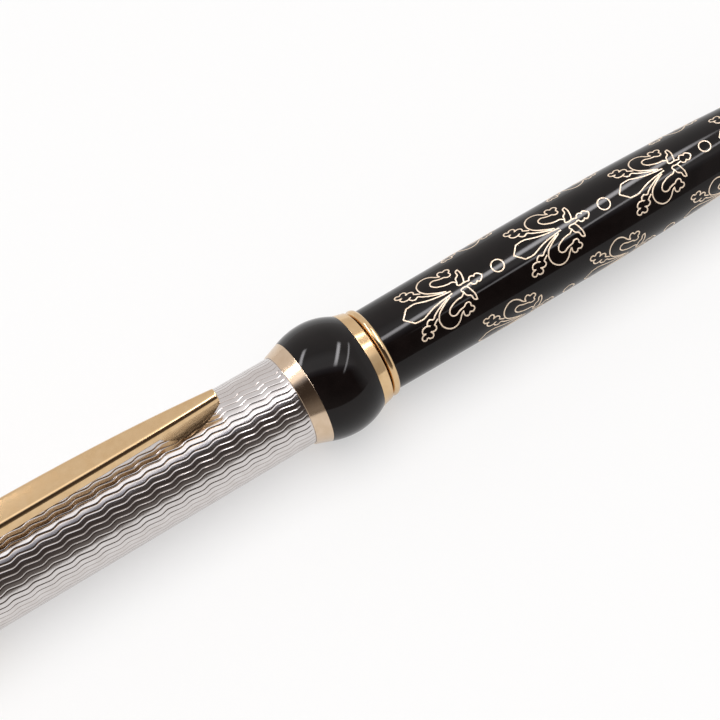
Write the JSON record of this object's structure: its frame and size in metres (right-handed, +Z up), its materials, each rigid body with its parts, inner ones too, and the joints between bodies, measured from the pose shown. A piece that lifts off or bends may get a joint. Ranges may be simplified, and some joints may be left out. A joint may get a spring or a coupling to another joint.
{
  "type": "rollerball pen",
  "caption": "Capped rollerball pen: engraved silver cap with a sprung gold clip and a black bulb at its mouth, black tapering barrel inlaid with gold, screw-in grip section and refill.",
  "frame": {"origin": "centre of the bounding box at its bottom, on the surface that the pen lies on", "axes": "+X along the pen towards its tail, -X towards the cap's end, +Z up through the clip, +Y across"},
  "size_m": [0.144, 0.0148, 0.0177],
  "materials": {
    "engraved_silver": "gloss",
    "gold_plate": "gloss",
    "black_resin": "gloss",
    "turned_brass": "satin",
    "turned_steel": "satin",
    "spring_steel": "gloss",
    "black_nylon": "matte",
    "liner_plastic": "satin",
    "black_rubber": "matte",
    "refill_shell": "satin",
    "refill_nose_plastic": "satin",
    "refill_plug_plastic": "satin",
    "tip_steel": "gloss",
    "tip_ball_carbide": "gloss",
    "ink_fibre": "matte"
  },
  "bodies": {
    "barrel": {"barrel_ring": "gold_plate", "barrel_tube": "black_resin", "thread_bush": "turned_brass", "spring_seat": "black_nylon", "refill_spring": "spring_steel", "tail_insert": "turned_brass", "tail_ring": "gold_plate", "tail_cap": "black_resin", "tail_stud": "turned_steel", "tail_button": "gold_plate"},
    "seal": {"section_o_ring": "black_rubber"},
    "section": {"section_core": "turned_brass", "nose_ring": "gold_plate", "section_grip": "black_resin", "snap_collar": "gold_plate"},
    "refill": {"refill_tube": "refill_shell", "refill_nose": "refill_nose_plastic", "tip_cone": "tip_steel", "tip_ball": "tip_ball_carbide", "ink_reservoir": "ink_fibre", "refill_plug": "refill_plug_plastic"},
    "snap_ring": {"snap_ring": "spring_steel"},
    "cap": {"lip_band": "gold_plate", "bulb_collar": "black_resin", "cone_ring": "gold_plate", "cap_tube": "engraved_silver", "cap_liner": "liner_plastic", "inner_cap": "black_nylon", "cap_insert": "turned_brass", "finial_ring": "gold_plate", "cap_dome": "black_resin", "cap_jewel": "gold_plate", "cap_stud": "turned_steel", "clip_collar": "gold_plate", "clip_pin": "turned_steel", "clip_spring": "spring_steel"},
    "clip": {"clip": "gold_plate"}
  },
  "joints": [
    {"name": "section_travel", "type": "slide", "parent": "barrel", "child": "seal", "axis": [-1, 0, 0], "range_m": [0, 0.00601]},
    {"name": "section_turn", "type": "hinge", "parent": "seal", "child": "section", "pos_m": [0, 0, 0.00736], "axis": [-1, 0, 0], "range_deg": [0, 2880]},
    {"name": "refill_press", "type": "slide", "parent": "section", "child": "refill", "axis": [1, 0, 0], "range_m": [0, 0.001], "stiffness_N_per_m": 400, "springref_m": -0.002, "deforming": ["refill_spring"]},
    {"name": "cap_pull", "type": "slide", "parent": "section", "child": "snap_ring", "axis": [-1, 0, 0], "range_m": [0, 0.055]},
    {"name": "cap_spin", "type": "hinge", "parent": "snap_ring", "child": "cap", "pos_m": [-0.038, 0, 0.00736], "axis": [-1, 0, 0], "continuous": true},
    {"name": "clip_lift", "type": "hinge", "parent": "cap", "child": "clip", "pos_m": [-0.0647, 0, 0.01496], "axis": [0, -1, 0], "range_deg": [0, 6], "stiffness_Nm_per_rad": 1, "springref_deg": -2.86, "deforming": ["clip_spring"]}
  ],
  "couplings": [
    {"joint": "section_travel", "follows": "section_turn", "m_per_rad": 0.00011937}
  ]
}
